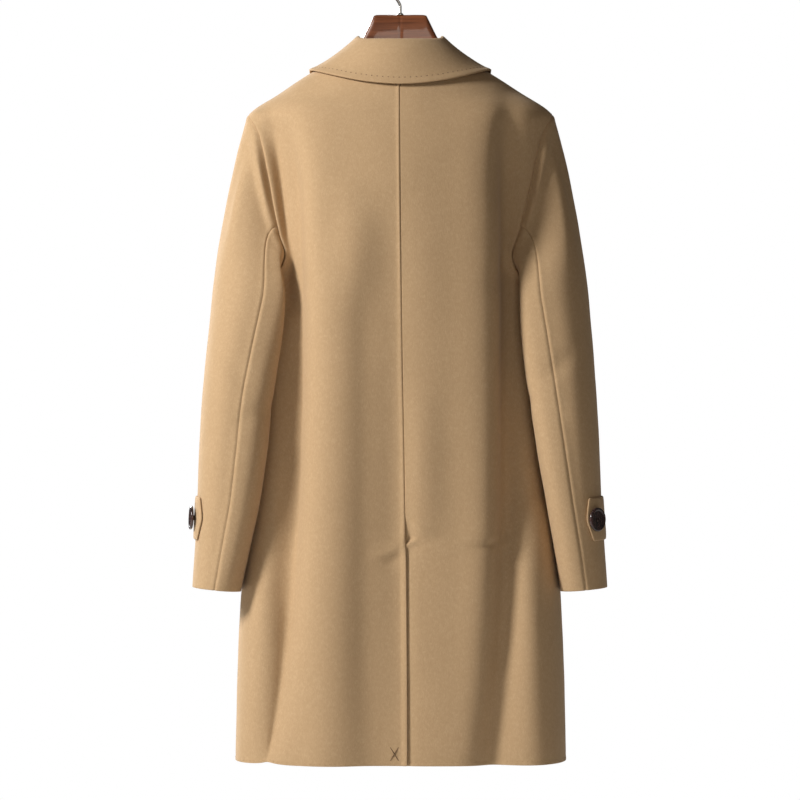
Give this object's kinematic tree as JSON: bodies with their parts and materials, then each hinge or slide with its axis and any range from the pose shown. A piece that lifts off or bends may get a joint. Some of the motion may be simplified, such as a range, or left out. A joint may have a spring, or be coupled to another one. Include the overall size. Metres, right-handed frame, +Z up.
{
  "type": "overcoat on a hanger",
  "caption": "Knee-length wool overcoat hanging on a wooden hanger: turn-down collar, set-in sleeves with buttoned tabs, buttoned front and a centre-back vent.",
  "frame": {"origin": "inside top of the hanger's hook, where a rail carries it", "axes": "+Z up; the coat faces -Y and its back faces +Y; +X is the wearer's left"},
  "size_m": [0.5823, 0.2546, 1.1114],
  "materials": {
    "camel_wool": "soft brushed nap, camel brown",
    "dark_horn": "polished dark horn",
    "brown_wood": "stained brown under clear gloss varnish",
    "bright_steel": "bright plated wire"
  },
  "bodies": {
    "root": {"back_left": "camel_wool", "back_right": "camel_wool", "front_left": "camel_wool", "front_right": "camel_wool", "sleeve_left_upper": "camel_wool", "sleeve_left_under": "camel_wool", "sleeve_right_upper": "camel_wool", "sleeve_right_under": "camel_wool", "collar": "camel_wool", "sleeve_tab_left": "camel_wool", "sleeve_tab_right": "camel_wool", "tab_button_left": "dark_horn", "tab_button_right": "dark_horn", "front_button_1": "dark_horn", "front_button_2": "dark_horn", "front_button_3": "dark_horn", "front_button_4": "dark_horn", "hanger": "brown_wood", "hanger_hook": "bright_steel"}
  },
  "joints": []
}
